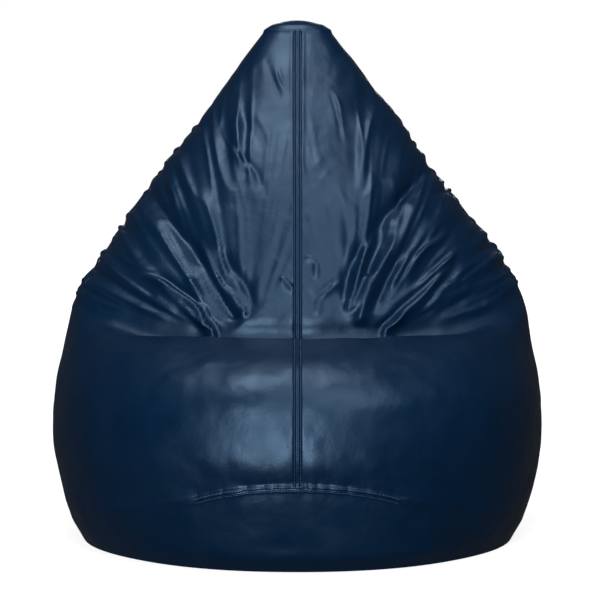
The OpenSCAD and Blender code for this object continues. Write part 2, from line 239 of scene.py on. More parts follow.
# distances from a seam at which the leatherette has rows of points, in metres
hem = np.array([0, 0.8, 2, 3.4, 4.2, 5, 5.8, 6.6, 8, 10, 13]) / 1000
stitchRow = 5
grid = {"rows": 262, "front": 88, "side": 66, "back": 34}


def spread(total, count):
    # shares of a length, close together near both ends
    total = np.asarray(total)[..., None]
    inner = np.linspace(0, 1, count + 2)[1:-1] * (1 - 2 * hem[-1] / total) + hem[-1] / total
    return np.concatenate([hem / total, inner, 1 - hem[::-1] / total], -1)


def middleRows(count):
    g = np.linspace(lowG, highG, 400)
    p = skinPoint(np.full(400, 45.0), rowV(g, 45))
    run = np.concatenate([[0], np.cumsum(lengths(np.diff(p, axis=0)))])
    return np.interp(np.linspace(0, run[-1], count + 2)[1:-1], run, g)


def rowSpeed(angle, g, step):
    return lengths(skinPoint(angle, rowV(g + step, angle)) - skinPoint(angle, rowV(g, angle))) / abs(step)


def panelGrid(kind, side):
    # angle and ring position of every point of a panel; side is 1 on the right and -1 on the left
    middle = (middleRows(grid["rows"]) - lowG) / (highG - lowG)
    n = len(hem)
    rough = mix(lowG, highG, np.concatenate([np.full(n, 0.01), middle, np.full(n, 0.99)]))
    dense = np.linspace(0, 1, 61)
    g, share = np.meshgrid(rough, dense, indexing="ij")
    angle = panelAngle(kind, g, share)
    run = np.cumsum(lengths(np.diff(skinPoint(angle, rowV(g, angle)), axis=1)), 1)
    run = np.hstack([np.zeros((len(rough), 1)), run])
    target = spread(run[:, -1], grid[kind]) * run[:, -1:]
    share = np.array([np.interp(t, r, dense) for t, r in zip(target, run)])
    # near the base seam and the cap seam the rows keep real distances
    lowStep = 1 / rowSpeed(panelAngle(kind, lowG, share), lowG, 0.1)
    highStep = 1 / rowSpeed(panelAngle(kind, highG, share), highG, -0.1)
    first, last = lowG + hem[-1] * lowStep, highG - hem[-1] * highStep
    g = np.vstack([
        lowG + hem[:, None] * lowStep[:n],
        mix(first, last, np.pad(middle, n)[:, None])[n:-n],
        highG - hem[::-1, None] * highStep[-n:]])
    angle = panelAngle(kind, g, share)
    return side * angle, rowV(g, angle)


# smooth value noise on a repeating lattice, about -1 to 1
lattice = np.random.default_rng(11).uniform(-1, 1, (32, 32, 32))


def lumps(points, size, shift=0.0):
    place = points / size + shift
    cell = np.floor(place).astype(int)
    part = ease(place - cell)
    total = 0
    for i in (0, 1):
        for j in (0, 1):
            for k in (0, 1):
                step = np.array([i, j, k])
                at = (cell + step) % 32
                weight = np.abs(1 - step - part)
                weight = weight[..., 0] * weight[..., 1] * weight[..., 2]
                total = total + lattice[at[..., 0], at[..., 1], at[..., 2]] * weight
    return total


def waver(run, pitch, seed):
    # an uneven wave along a seam, -1 to 1
    phases = np.random.default_rng(seed).uniform(0, 2 * math.pi, 3)
    parts = zip((1, 1.7, 0.61), phases)
    return sum(np.sin(2 * math.pi * run / (stretch * pitch) + phase) for stretch, phase in parts) / 3


# the crease between seat and backrest, and the soft shapes beside it
softShape = {
    "reach": 56, "creaseDepth": 0.022, "creaseWidth": 0.016, "creaseAt": -0.007, "seatBulge": 0.010,
    "seatBulgeAt": -0.046, "seatBulgeWidth": 0.04,
}

# places where the sack is fuller or slacker than a regular shape: x and z, widths and height
unevenFilling = {
    "leftWaist": {"at": (-0.40, 0.50), "width": (0.13, 0.10), "height": -0.015, "front": False},
    "rightShoulder": {"at": (0.20, 0.745), "width": (0.06, 0.055), "height": 0.009, "front": False},
    "rightWaist": {"at": (0.40, 0.46), "width": (0.13, 0.05), "height": -0.006, "front": False},
    "rightBack": {"at": (0.135, 0.535), "width": (0.075, 0.09), "height": 0.012, "front": True},
}


def softMove(points, angle, v):
    # how far the filled shape stands out from the frame, along its normal
    s = softShape
    crease = skinPoint(angle, np.full_like(v, float(creaseRing)))
    away = lengths(points - crease) * np.sign(v - creaseRing)
    front = ease((s["reach"] - np.abs(angle)) / 34) * (np.abs(v - creaseRing) < 2.5)
    extra = 0
    move = -s["creaseDepth"] * hump(away - s["creaseAt"], s["creaseWidth"])
    move = move + s["seatBulge"] * hump(away - s["seatBulgeAt"], s["seatBulgeWidth"])
    for place in unevenFilling.values():
        x, z = points[..., 0] - place["at"][0], points[..., 2] - place["at"][1]
        local = place["height"] * np.exp(-(x / place["width"][0]) ** 2 - (z / place["width"][1]) ** 2)
        extra = extra + local * ease((105 - np.abs(angle)) / 30 if place["front"] else 1)
    return front * move + extra


# folds in the leatherette, in millimetres: a route in x and z seen from the front, then height and width,
# the side of the trough, and the shares of the route over which the fold rises and dies away
folds = {
    "leftMain": {"route": ((-288, 620), (-260, 600), (-222, 560), (-188, 525), (-156, 480), (-125, 430),
        (-100, 390)), "size": (-18, 19), "fade": (0.35, 0.1)},
    "leftSmall": {"route": ((-255, 445), (-230, 430), (-205, 415)), "size": (4, 6)},
    "leftTiny": {"route": ((-240, 460), (-215, 440), (-195, 425)), "size": (3, 5)},
    "leftArm": {"route": ((-290, 425), (-255, 415), (-215, 405)), "size": (3, 8)},
    "leftHighValley": {"route": ((-160, 750), (-130, 700), (-105, 670)),
        "size": (-3, 10.3), "fade": (0.5, 0.5)},
    "leftHighRidge": {"route": ((-140, 725), (-120, 690), (-85, 650), (-70, 630)),
        "size": (2.5, 5.7), "trough": 1, "fade": (0.5, 0.5)},
    "leftInnerValley": {"route": ((-105, 685), (-70, 640), (-50, 595)),
        "size": (-3, 10.3), "fade": (0.5, 0.5)},
    "topLeftValley": {"route": ((-70, 875), (-40, 800), (-25, 770)),
        "size": (-2.5, 9.2), "fade": (0.5, 0.5)},
    "topLeftRidge": {"route": ((-45, 840), (-35, 810), (-20, 785)),
        "size": (1.5, 4.6), "trough": 1, "fade": (0.5, 0.5)},
    "leftSlopeValley": {"route": ((-105, 755), (-85, 720), (-60, 680)),
        "size": (-2, 9.2), "fade": (0.5, 0.5)},
    "leftSlopeRidge": {"route": ((-95, 780), (-60, 725), (-45, 685)), "size": (2, 9.2), "fade": (0.5, 0.5)},
    "rightMain": {"route": ((250, 660), (215, 635), (165, 585), (140, 550), (125, 480)),
        "size": (-18, 17), "fade": (0.35, 0.3)},
    "rightThird": {"route": ((270, 545), (235, 525), (200, 495), (185, 455)), "size": (5, 6), "trough": -1},
    "rightSharp": {"route": ((285, 515), (240, 480), (195, 440)), "size": (7, 6), "trough": -1},
    "rightArm": {"route": ((290, 470), (255, 450), (215, 410)), "size": (5, 6), "trough": -1},
    "rightArmLow": {"route": ((325, 465), (260, 435), (225, 410)), "size": (4, 7)},
    "rightLow": {"route": ((350, 430), (305, 415), (230, 395)), "size": (4, 8)},
    "rightChevron": {"route": ((50, 675), (35, 660), (25, 640)), "size": (1.5, 5.7), "fade": (0.5, 0.5)},
    "rightChevronLow": {"route": ((60, 655), (45, 635), (30, 610)), "size": (1.5, 5.7), "fade": (0.5, 0.5)},
    "topRightRidge": {"route": ((60, 800), (75, 760), (90, 680)),
        "size": (2.5, 5.2), "trough": -1, "fade": (0.5, 0.5)},
    "topRightSlope": {"route": ((80, 885), (40, 850)), "size": (2, 11.5), "fade": (0.5, 0.5)},
    "leftLoop": {"route": ((-178, 550), (-158, 505), (-136, 465), (-110, 437), (-86, 410)),
        "size": (7, 4.6), "fade": (0.25, 0.08)},
    "leftLoopInner": {"route": ((-150, 485), (-138, 465), (-124, 442), (-108, 422), (-88, 406)),
        "size": (6, 4.4), "fade": (0.25, 0.12)},
    "leftPocket": {"route": ((-145, 530), (-115, 490), (-90, 460), (-70, 415)), "size": (-9, 9.5)},
    "leftSoft": {"route": ((-180, 505), (-155, 475), (-125, 420), (-100, 395)), "size": (4, 7)},
    "leftSharp": {"route": ((-280, 475), (-240, 465), (-205, 445), (-175, 425), (-160, 400), (-140, 375)),
        "size": (9, 5.5), "trough": 1, "fade": (0.25, 0.06)},
    "leftSecond": {"route": ((-210, 435), (-175, 405), (-155, 385), (-140, 375)),
        "size": (6, 4.6), "fade": (0.25, 0.08)},
    "leftBlob": {"route": ((-195, 475), (-175, 450), (-160, 420)), "size": (5, 8)},
    "rightThin": {"route": ((155, 585), (130, 530), (115, 505), (105, 475), (95, 440), (82, 418)),
        "size": (8, 4.6), "fade": (0.25, 0.1)},
    "rightLoop": {"route": ((125, 480), (115, 450), (100, 425), (80, 418)),
        "size": (6, 4.2), "fade": (0.25, 0.12)},
    "rightPocket": {"route": ((120, 535), (95, 495), (85, 460), (80, 425)), "size": (-7, 7.5)},
    "rightHollow": {"route": ((160, 560), (130, 495), (120, 465)), "size": (-9, 10)},
    "rightBroad": {"route": ((180, 550), (150, 500), (130, 460), (100, 390)),
        "size": (11, 9.5), "fade": (0.25, 0.1)},
    "rightShade": {"route": ((175, 510), (150, 460), (125, 410)), "size": (-7, 9)},
    "rightSecond": {"route": ((200, 520), (170, 475), (155, 450)), "size": (7, 6.5)},
    "rightLong": {"route": ((280, 500), (240, 465), (210, 435), (185, 415), (165, 395), (145, 378)),
        "size": (10, 7), "trough": -1, "fade": (0.25, 0.06)},
    "centreCrease": {"route": ((10, 505), (30, 495), (35, 460)), "size": (3, 3.6)},
    "centreFork": {"route": ((35, 435), (55, 450), (75, 465)), "size": (3.5, 4), "trough": 1},
    "centreDown": {"route": ((35, 437), (35, 410)), "size": (2.8, 3.6)},
    "centreLeft": {"route": ((-30, 475), (-15, 460), (-2, 445)), "size": (3.5, 4), "trough": 1},
}
foldStyle = {"widthShare": 0.85, "heightShare": 1.3, "fade": (0.25, 0.3)}


def smoothRoute(route, steps=8):
    p = np.array(route) / 1000
    p = np.vstack([2 * p[0] - p[1], p, 2 * p[-1] - p[-2]])
    t = np.linspace(0, 1, steps, endpoint=False)[:, None]
    pieces = []
    for a, b, c, d in zip(p, p[1:], p[2:], p[3:]):
        pieces.append((2 * b + (c - a) * t + (2 * a - 5 * b + 4 * c - d) * t ** 2
                       + (3 * b - a - 3 * c + d) * t ** 3) / 2)
    return np.vstack(pieces + [p[-2:-1]])


def crest(distance, width):
    # a creased fold: sharper at the top than a hump
    return np.exp(-np.sqrt((distance / width) ** 2 + 0.06) * 1.6) * 1.48


def foldMove(points, angle):
    flat = points[..., [0, 2]].reshape(-1, 2)
    front = ease((118 - np.abs(angle)) / 24).reshape(-1)
    total = np.zeros(len(flat))
    for fold in folds.values():
        path = smoothRoute(fold["route"])
        height = foldStyle["heightShare"] * fold["size"][0] / 1000
        width = foldStyle["widthShare"] * fold["size"][1] / 1000
        reach = 4 * abs(width)
        near = np.where(((flat > path.min(0) - reach) & (flat < path.max(0) + reach)).all(1) & (front > 0))[0]
        best = np.full(len(near), 9.0)
        side = np.zeros(len(near))
        along = np.zeros(len(near))
        for i in range(len(path) - 1):
            start, step = path[i], path[i + 1] - path[i]
            offset = flat[near] - start
            t = np.clip(offset @ step / (step @ step), 0, 1)
            gap = offset - t[:, None] * step
            distance = lengths(gap)
            closer = distance < best
            best = np.where(closer, distance, best)
            side = np.where(closer, np.sign(step[0] * gap[:, 1] - step[1] * gap[:, 0]), side)
            along = np.where(closer, (i + t) / (len(path) - 1), along)
        d = best * side + 0.15 * width * waver(along, 0.4, 3)
        rising, dying = fold.get("fade", foldStyle["fade"])
        taper = ease(along / rising) * ease((1 - along) / dying)
        trough = fold.get("trough", 0)
        shape = 0.55 * crest(d, width) + 0.45 * hump(d, 1.8 * width)
        shape = shape - 0.55 * abs(trough) * hump(d - 1.6 * trough * width, width)
        total[near] += height * taper * shape
    return (total * front).reshape(angle.shape)


# fine wrinkles that fan out over the backrest from both ends of the crease
fan = {"focus": (0.09, 0.34), "height": 0.0036, "width": 0.10, "length": 0.19}


def fanMove(points, angle):
    x, z = points[..., 0], points[..., 2]
    total = 0
    for side in (-1, 1):
        dx, dz = x - side * fan["focus"][0], z - fan["focus"][1]
        reach = np.hypot(dx, dz)
        turn = np.arctan2(dx, dz)
        place = np.stack([turn / fan["width"], reach / fan["length"], np.full_like(x, 3.7 * side)], -1)
        wave = 1 - 2.6 * np.abs(lumps(place, 1.0)) ** 0.8
        fine = 1 - 2.6 * np.abs(lumps(place * [2.3, 1.6, 1], 1.0, 5.2)) ** 0.8
        share = ease(0.5 + side * x / 0.10)
        near = ease((reach - 0.05) / 0.08) * ease((0.56 - reach) / 0.22)
        # the middle of the backrest stays tighter
        near = near * (0.25 + 0.75 * ease((np.abs(x) - 0.05) / 0.06))
        fineShare = 0.35 + 0.5 * ease((reach - 0.2) / 0.2)
        total = total + share * near * (wave * np.minimum(1, reach / 0.2) + fineShare * fine)
    # they stop nearer the front higher up, where the outline is smooth
    edge = 110 - 30 * ease((z - 0.52) / 0.12)
    return fan["height"] * total * ease((edge - np.abs(angle)) / 30) * ease((z - 0.39) / 0.04)


# puckers beside each seam: height of the ripples, their spacing, how far they reach, and where they show
puckers = {
    "centre": {"height": 0.0007, "pitch": 0.034, "reach": 0.030, "seed": 5},
    "side": {"height": 0.019, "pitch": 0.029, "reach": 0.040, "seed": 8},
    "rear": {"height": 0.0018, "pitch": 0.030, "reach": 0.035, "seed": 13},
    "backMiddle": {"height": 0.0010, "pitch": 0.035, "reach": 0.035, "seed": 17},
    "base": {"height": 0.0042, "pitch": 0.028, "reach": 0.035, "seed": 21},
}


def puckerMove(seam, distance, run, strength=1.0):
    p = puckers[seam]
    phase = run / p["pitch"] + 0.55 * waver(run, 6 * p["pitch"], p["seed"])
    fine = np.abs(np.sin(math.pi * phase)) ** 0.8 - 0.62
    coarse = np.abs(np.sin(math.pi * phase / 2 + 0.6)) ** 0.8 - 0.62
    uneven = 0.65 + 0.5 * waver(run, 4.3 * p["pitch"], p["seed"] + 1)
    far = ease(distance / p["reach"])
    return strength * p["height"] * uneven * mix(fine, coarse, far) * np.exp(-distance / p["reach"])


def seamMove(distance, raised=0.0012, pulled=0.0035):
    # a felled seam: pulled in, with a raised band, a sunk joint and a shallow dent under each row of stitches
    band = raised * ease((0.0085 - distance) / 0.0025)
    return (band - pulled * hump(distance, 0.022) - 0.0022 * hump(distance, 0.0012)
            - 0.0006 * hump(distance - 0.005, 0.0009))


# the centre seam is flatter: a low band, a groove under each row of stitches and a ridge outside it
centreSeam = {"showing": 0.3, "pulled": 0.0008, "band": 0.0012, "groove": 0.0032, "ridge": 0.0012,
              "ridgeWidth": 0.0026, "rowAt": 0.0050}


def ridgeGap(height):
    # distance of the centre seam's outer ridges
    return 0.0085 + 0.002 * ease((height - 0.55) / 0.3)


def zipFlat(points):
    # 1 where the leatherette stays flat along the zip
    high = ease((0.075 - np.abs(points[..., 0])) / 0.035) * ease((points[..., 1] - 0.3) / 0.05)
    return high * ease((points[..., 2] - 0.045) / 0.03) * ease((0.43 - points[..., 2]) / 0.03)


# cloth simulation of the whole cover on a coarse grid: it is let out a little, blown up against its own
# stiffness, and held at the foot, the crease, the zip and the cap
cloth = {
    "rows": 151, "columns": 200, "frames": 18, "pressure": 6, "letOut": 1.02, "tension": 25, "bending": 1.2,
    "limit": 0.010, "start": 0.002,
}
simulated = {"move": None}


def splineWeights(t):
    middle = 3 * t ** 3 - 6 * t ** 2 + 4, -3 * t ** 3 + 3 * t ** 2 + 3 * t + 1
    return np.stack([(1 - t) ** 3, *middle, t ** 3]) / 6


def clothMove(angle, v):
    # the cloth simulation's result, smoothly read off its own coarser grid
    if simulated["move"] is None:
        return np.zeros(angle.shape + (3,))
    rows, columns = cloth["rows"], cloth["columns"]
    i = (v + 1) / (lastRing + 2) * (rows - 1)
    j = (angle % 360) / 360 * columns
    i0, j0 = np.floor(i).astype(int), np.floor(j).astype(int)
    wi, wj = splineWeights(i - i0), splineWeights(j - j0)
    total = 0
    for a in range(4):
        for b in range(4):
            row = np.clip(i0 + a - 1, 0, rows - 1)
            total = total + (wi[a] * wj[b])[..., None] * simulated["move"][row, (j0 + b - 1) % columns]
    return total


# small unevenness all over: height, size and place of the lumps
unevenness = ((0.0018, 0.11, 0), (0.0013, 0.045, 0.3), (0.0006, 0.02, 0.6))


def foldedPoint(angle, v):
    # the finished skin without its seams
    base = skinPoint(angle, v)
    normal = outward(angle, v)
    skin = base + normal * softMove(base, angle, v)[..., None] + clothMove(angle, v)
    skin = skin + normal * (foldMove(base, angle) + fanMove(base, angle))[..., None]
    uneven = sum(height * lumps(base, size, shift) for height, size, shift in unevenness)
    keep = (1 - zipFlat(base)) * ease((v - 0.1) / 0.8) * ease((lastRing + 0.2 - v) / 0.5)
    return base + (skin - base + normal * uneven[..., None]) * keep[..., None], base, normal


def simulateCloth():
    rows, columns = cloth["rows"], cloth["columns"]
    levels, turns = np.linspace(-1, lastRing + 1, rows), np.arange(columns) * 360 / columns
    v, angle = np.meshgrid(levels, turns, indexing="ij")
    angle = np.where(angle > 180, angle - 360, angle)
    skin, base, normal = foldedPoint(angle, v)
    start = (skin - normal * cloth["start"])[1:-1]
    count = (rows - 2) * columns
    faces = gridFaces(rows - 2, columns, wrap=True)
    faces += [list(range(columns))[::-1], list(range(count - columns, count))]
    sack3d = addMesh("clothDraft", start, faces)
    sack3d.shape_key_add(name="Basis")
    letOut = sack3d.shape_key_add(name="letOut")
    middle = np.array([0, 0.05, 0.42])
    letOut.data.foreach_set("co", (middle + (start - middle) * cloth["letOut"]).ravel())
    crease = lengths(base - skinPoint(angle, np.full_like(v, float(creaseRing))))
    held = np.maximum.reduce([
        ease((1.3 - v) / 0.5), ease((v - 10.8) / 1.4), zipFlat(base),
        0.9 * hump(crease, 0.03) * ease((100 - np.abs(angle)) / 30)])[1:-1].ravel()
    group = sack3d.vertex_groups.new(name="held")
    for i in np.where(held > 0.01)[0].tolist():
        group.add([i], float(held[i]), "REPLACE")
    modifier = sack3d.modifiers.new("cloth", "CLOTH")
    settings = modifier.settings
    settings.quality = 5
    settings.mass = 0.4
    settings.tension_stiffness = settings.compression_stiffness = cloth["tension"]
    settings.shear_stiffness = 8
    settings.bending_stiffness = cloth["bending"]
    settings.air_damping = 2
    settings.vertex_group_mass = "held"
    settings.use_pressure = True
    settings.uniform_pressure_force = cloth["pressure"]
    settings.rest_shape_key = letOut
    settings.effector_weights.gravity = 0
    modifier.collision_settings.use_collision = False
    modifier.point_cache.frame_start = 1
    modifier.point_cache.frame_end = cloth["frames"]
    scene = bpy.context.scene
    for step in range(1, cloth["frames"] + 1):
        scene.frame_set(step)
    shaped = sack3d.evaluated_get(bpy.context.evaluated_depsgraph_get()).to_mesh()
    result = np.zeros(count * 3, np.float32)
    shaped.vertices.foreach_get("co", result)
    move = result.reshape(rows - 2, columns, 3) - skin[1:-1]
    size = lengths(move)[..., None]
    move = move * (cloth["limit"] * np.tanh(size / cloth["limit"]) / np.maximum(size, 1e-9))
    free = (1 - np.maximum.reduce([ease((1.1 - v) / 0.4), ease((v - 11.0) / 1.4), zipFlat(base)]))[..., None]
    simulated["move"] = np.pad(move, ((1, 1), (0, 0), (0, 0))) * free
    scene.frame_set(1)
    bpy.data.objects.remove(sack3d)
    print("cloth simulated, mean move", round(float(size.mean()), 4))


seamNames = {"front": ("centre", "side"), "side": ("side", "rear"), "back": ("rear", "backMiddle")}
arch = np.linspace(0, 180, 721)
archRun = np.concatenate([[0], np.cumsum(lengths(np.diff(skinPoint(arch, baseSeamV(arch)), axis=0)))])


def runOf(points, axis):
    steps = np.cumsum(lengths(np.diff(points, axis=axis)), axis)
    first = np.zeros_like(np.take(steps, [0], axis))
    return np.concatenate([first, steps], axis)


def archShare(angle):
    # the base seam is topstitched across the front arch only
    return 0.06 + 0.94 * ease((26 - np.abs(angle)) / 5)


def baseStrength(angle):
    return 0.2 + 0.9 * hump(np.abs(angle), 16)


slot = {"half": 0.0056, "low": chainLow[2] - 0.005, "high": chainHigh[2] + 0.005, "blend": 0.03}


def openSlot(points):
    # the two back panels part along the zip
    x, z = points[..., 0], points[..., 2]
    half = slot["half"] * ease((z - slot["low"]) / 0.003) * ease((slot["high"] - z) / 0.003)
    side = np.sign(x.ravel()[np.argmax(np.abs(x))])
    moved = side * (half + np.abs(x) * (slot["blend"] - half) / slot["blend"])
    return np.where(np.abs(x) < slot["blend"], moved, x)


def dressedPanel(kind, side):
    angle, v = panelGrid(kind, side)
    skin, base, normal = foldedPoint(angle, v)
    across, upward = runOf(base, 1), runOf(base, 0)
    fromStart, fromEnd = across, across[:, -1:] - across
    fromLow, fromHigh = upward, upward[-1:] - upward
    startRun, endRun = upward[:, :1], upward[:, -1:]
    height = base[..., 2]
    move = 0
    startName, endName = seamNames[kind]
    for seam, distance, run in ((startName, fromStart, startRun), (endName, fromEnd, endRun)):
        strength, showing, pulled = 1.0, 1.0, 0.0035
        if seam == "side":
            strength = ease((height - 0.45) / 0.05) * ease((0.80 - height) / 0.14)
            showing = 0.03 + 0.97 * ease((height - 0.40) / 0.1)
        if seam == "centre":
            c = centreSeam
            wide = ease((height - 0.50) / 0.2)
            band = c["band"] * ease((0.0042 - distance) / 0.0014)
            groove = c["groove"] * hump(distance - c["rowAt"], 0.0015)
            ridge = c["ridge"] * wide * hump(distance - ridgeGap(height), c["ridgeWidth"])
            move = move + (band - groove + ridge)
            showing, pulled = c["showing"], c["pulled"]
        ripple = puckerMove(seam, distance, run + 0.3 * (side < 0), strength)
        move = move + showing * seamMove(distance, pulled=pulled) + ripple
    baseRun = np.interp(np.abs(angle), arch, archRun)
    move = move * ease(fromLow / 0.012) * ease(fromHigh / 0.012)
    ripple = puckerMove("base", fromLow, baseRun + 0.5 * (side < 0), baseStrength(angle))
    move = move + archShare(angle) * seamMove(fromLow, raised=0.0034) + ripple
    move = move + 0.0012 * ease((0.009 - fromHigh) / 0.005) * ease(fromHigh / 0.002)
    skin = skin + normal * (move * (1 - zipFlat(base)))[..., None]
    if kind == "back":
        skin[..., 0] = openSlot(skin)
    return skin, normal


def addMesh(name, points, faces):
    mesh = bpy.data.meshes.new(name)
    mesh.from_pydata(np.asarray(points).reshape(-1, 3).tolist(), [], faces)
    mesh.polygons.foreach_set("use_smooth", [True] * len(mesh.polygons))
    mesh.update()
    piece = bpy.data.objects.new(name, mesh)
    bpy.context.scene.collection.objects.link(piece)
    return piece


def gridFaces(rows, columns, wrap=False, flip=False):
    i, j = np.meshgrid(np.arange(rows - 1), np.arange(columns if wrap else columns - 1), indexing="ij")
    k = (j + 1) % columns
    faces = np.stack([i * columns + j, i * columns + k, (i + 1) * columns + k, (i + 1) * columns + j], -1)
    return (faces[..., ::-1] if flip else faces).reshape(-1, 4).tolist()


def thicken(piece, thickness):
    # the cut edges stay crisp
    mesh = piece.data
    used = np.zeros(len(mesh.loops), int)
    mesh.loops.foreach_get("edge_index", used)
    mesh.edges.foreach_set("use_edge_sharp", np.bincount(used, minlength=len(mesh.edges)) == 1)
    solid = piece.modifiers.new("thickness", "SOLIDIFY")
    solid.thickness = thickness
    solid.offset = -1


def finishPiece(piece, body, material, nodes=()):
    piece.data.materials.append(material)
    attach(piece, body)
    if nodes:
        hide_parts(*nodes)


def linear(hexColour):
    values = [int(hexColour[i:i + 2], 16) / 255 for i in (1, 3, 5)]
    return tuple(c / 12.92 if c <= 0.04045 else ((c + 0.055) / 1.055) ** 2.4 for c in values) + (1,)


def addNode(tree, kind, settings=None, links=None):
    node = tree.nodes.new("ShaderNode" + kind)
    for name, value in (settings or {}).items():
        if name in node.inputs:
            node.inputs[name].default_value = value
        else:
            setattr(node, name, value)
    for name, output in (links or {}).items():
        tree.links.new(output, node.inputs[name])
    return node


def newMaterial(name):
    material = bpy.data.materials.new(name)
    material.use_nodes = True
    tree = material.node_tree
    tree.nodes.clear()
    return material, tree, addNode(tree, "TexCoord").outputs["Object"]


# PVC leatherette: a knitted cloth calendered with a smooth, slightly glossy film. The eye sees a deep
# colour, broad soft highlights and a very fine pressed grain
leather = {
    "dark": "#00152c", "light": "#001932", "rough": (0.35, 0.45), "grain": 0.0024, "ior": 1.5,
    "tint": "#aed7ff", "thickness": 0.0012,
}


def makeLeatherette():
    material, tree, place = newMaterial("calenderedPvcLeatherette")
    cloud = addNode(tree, "TexNoise", {"Scale": 1 / 0.16, "Detail": 3}, {"Vector": place})
    colour = addNode(tree, "Mix", {"data_type": "RGBA"}, {"Factor": cloud.outputs["Fac"]})
    colour.inputs[6].default_value = linear(leather["dark"])
    colour.inputs[7].default_value = linear(leather["light"])
    patch = addNode(tree, "TexNoise", {"Scale": 1 / 0.07, "Detail": 4}, {"Vector": place})
    rough = addNode(tree, "MapRange",
                    {"From Min": 0.35, "From Max": 0.65, "To Min": leather["rough"][0],
                     "To Max": leather["rough"][1]}, {"Value": patch.outputs["Fac"]})
    # real grain is about 0.8 mm; it is drawn three times as coarse so that it shows
    grain = addNode(tree, "TexVoronoi", {"Scale": 1 / leather["grain"], "feature": "SMOOTH_F1"},
                    {"Vector": place})
    soft = addNode(tree, "TexNoise", {"Scale": 1 / 0.03, "Detail": 3}, {"Vector": place})
    softBump = addNode(tree, "Bump", {"Strength": 0.7, "Distance": 0.0016},
                       {"Height": soft.outputs["Fac"]})
    bump = addNode(tree, "Bump", {"Strength": 0.12, "Distance": 0.0004},
                   {"Height": grain.outputs["Distance"], "Normal": softBump.outputs["Normal"]})
    shader = addNode(tree, "BsdfPrincipled",
                     {"IOR": leather["ior"], "Specular Tint": linear(leather["tint"])},
                     {"Base Color": colour.outputs[2], "Roughness": rough.outputs["Result"],
                      "Normal": bump.outputs["Normal"]})
    addNode(tree, "OutputMaterial", {}, {"Surface": shader.outputs["BSDF"]})
    return material


leatherette = makeLeatherette()

simulateCloth()

panelNodes = {
    ("front", -1): "front_left_panel", ("front", 1): "front_right_panel", ("side", -1): "left_side_panel",
    ("side", 1): "right_side_panel", ("back", -1): "back_left_panel", ("back", 1): "back_right_panel",
}
dressed = {}
for (kind, side), node in panelNodes.items():
    points, normals = dressedPanel(kind, side)
    dressed[kind, side] = points, normals
    faces = gridFaces(points.shape[0], points.shape[1], flip=side < 0)
    words = node.split("_")
    name = words[0] + "".join(w.capitalize() for w in words[1:])
    panel = addMesh(name, points, faces)
    thicken(panel, leather["thickness"])
    finishPiece(panel, "bag", leatherette, [node])
print("panels made")


def makeBasePanel():
    count = 480
    angle = np.linspace(-180, 180, count, endpoint=False)
    seam = baseSeamV(angle)
    speed = lengths(skinPoint(angle, seam) - skinPoint(angle, seam - 0.05)) / 0.05
    rim = seam - hem[:, None] / speed
    wall = np.linspace(1, 0, 34)[1:, None] * rim[-1]
    floor = np.linspace(0, -0.97, 30)[1:, None] * np.ones(count)
    v = np.vstack([rim, wall, floor])[::-1]
    angles = np.broadcast_to(angle, v.shape)
    skin, base, normal = foldedPoint(angles, v)
    down = runOf(base[::-1], 0)[::-1]
    run = np.interp(np.abs(angles), arch, archRun)
    ripple = puckerMove("base", down, run + 0.5 * (angles < 0), baseStrength(angles))
    move = archShare(angles) * seamMove(down) + ripple
    lifted = ease(base[..., 2] / 0.02)
    skin = skin + normal * (move * lifted)[..., None]
    skin[..., 2] = np.maximum(skin[..., 2], 0.0)
    points = np.vstack([skin.reshape(-1, 3), skin[0].mean(0)])
    pole = [[(j + 1) % count, j, len(points) - 1] for j in range(count)]
    panel = addMesh("basePanel", points, gridFaces(len(v), count, wrap=True) + pole)
    thicken(panel, leather["thickness"])
    finishPiece(panel, "bag", leatherette, ["base_panel"])
    return skin, normal


baseSkin, baseNormals = makeBasePanel()


def makeCap():
    count = 240
    angle = np.linspace(-180, 180, count, endpoint=False)
    out = np.concatenate([hem[:9], np.linspace(0.010, 0.030, 9)])
    v = lastRing + out[:, None] / 0.031 * np.ones(count)
    angles = np.broadcast_to(angle, v.shape)
    skin, base, normal = foldedPoint(angles, v)
    roll = 0.0010 * hump(out - 0.007, 0.004)[:, None]
    skin = skin + normal * (roll + 0.0004 * lumps(base, 0.015) * ease(out / 0.006)[:, None])[..., None]
    points = np.vstack([skin.reshape(-1, 3), skin[-1].mean(0)])
    last = (len(v) - 1) * count
    pole = [[last + j, last + (j + 1) % count, len(points) - 1] for j in range(count)]
    cap = addMesh("topCap", points, gridFaces(len(v), count, wrap=True) + pole)
    thicken(cap, leather["thickness"])
    finishPiece(cap, "bag", leatherette, ["top_cap"])


makeCap()
print("base and cap made")

# sewing thread: twisted polyester, a little lighter than the leatherette because its fibres catch the light
thread = {"thickness": 0.00095, "pitch": 0.0047, "length": 0.0037, "colour": "#123a5e"}


def makeThread():
    material, tree, place = newMaterial("twistedPolyesterThread")
    # the twist is about 0.3 mm; it is drawn at 0.6 mm
    twist = addNode(tree, "TexWave", {"Scale": 1 / 0.0006 / 20, "bands_direction": "DIAGONAL"},
                    {"Vector": place})
    bump = addNode(tree, "Bump", {"Strength": 0.5, "Distance": 0.0002},
                   {"Height": twist.outputs["Fac"]})
    tone = addNode(tree, "TexNoise", {"Scale": 1 / 0.02}, {"Vector": place})
    rough = addNode(tree, "MapRange", {"To Min": 0.45, "To Max": 0.6},
                    {"Value": tone.outputs["Fac"]})
    shader = addNode(tree, "BsdfPrincipled",
                     {"Base Color": linear(thread["colour"]), "Sheen Weight": 0.3, "IOR": 1.5},
                     {"Roughness": rough.outputs["Result"], "Normal": bump.outputs["Normal"]})
    addNode(tree, "OutputMaterial", {}, {"Surface": shader.outputs["BSDF"]})
    return material


